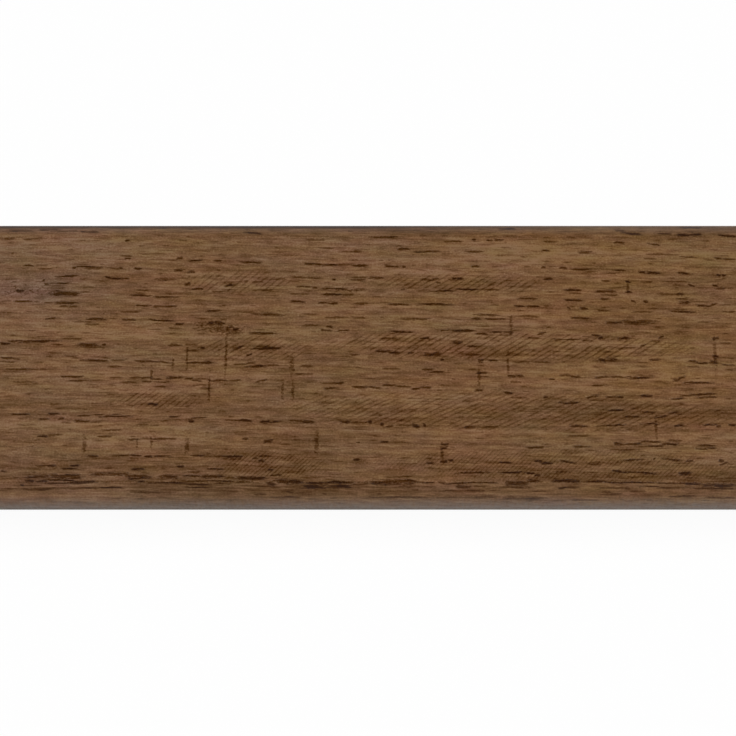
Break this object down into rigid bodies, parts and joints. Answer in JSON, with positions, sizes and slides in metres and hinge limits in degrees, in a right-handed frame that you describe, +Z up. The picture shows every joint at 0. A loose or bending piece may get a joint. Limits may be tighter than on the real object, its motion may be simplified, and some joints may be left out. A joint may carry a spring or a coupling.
{
  "type": "floor t-moulding",
  "caption": "Long T-section floor strip with a gently crowned wood-grain cap, rounded edges and a central stem that drops into the gap between two floors.",
  "frame": {"origin": "on the floor, under the middle of the stem's foot", "axes": "+X along the strip, +Y across it towards the back edge, +Z up through the stem to the crown"},
  "size_m": [0.9144, 0.0444, 0.0158],
  "materials": {
    "wood_decor": "satin"
  },
  "bodies": {
    "root": {"t_moulding": "wood_decor"}
  },
  "joints": []
}
